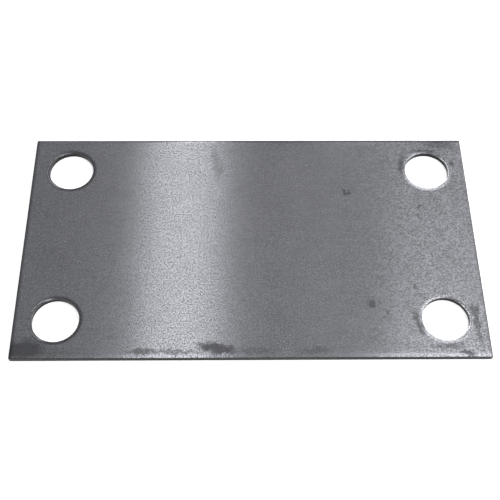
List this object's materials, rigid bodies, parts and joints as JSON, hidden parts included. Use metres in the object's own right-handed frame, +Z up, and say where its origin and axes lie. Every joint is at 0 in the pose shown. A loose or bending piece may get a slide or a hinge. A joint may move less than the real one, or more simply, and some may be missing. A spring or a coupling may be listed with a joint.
{
  "type": "rectangular cover plate",
  "caption": "Flat rectangular cover plate of bare sheet steel with a large round bolt hole punched near each corner.",
  "frame": {"origin": "centre of the plate's underside", "axes": "+X along the length, +Y across the width, +Z up out of the face that the shear and punch entered"},
  "size_m": [0.25, 0.14, 0.003],
  "materials": {
    "bare_steel": "bare rolled mild steel, grey with a fine pebbled grain, satin sheen, light stains and smears"
  },
  "bodies": {
    "root": {"cover_plate": "bare_steel"}
  },
  "joints": []
}
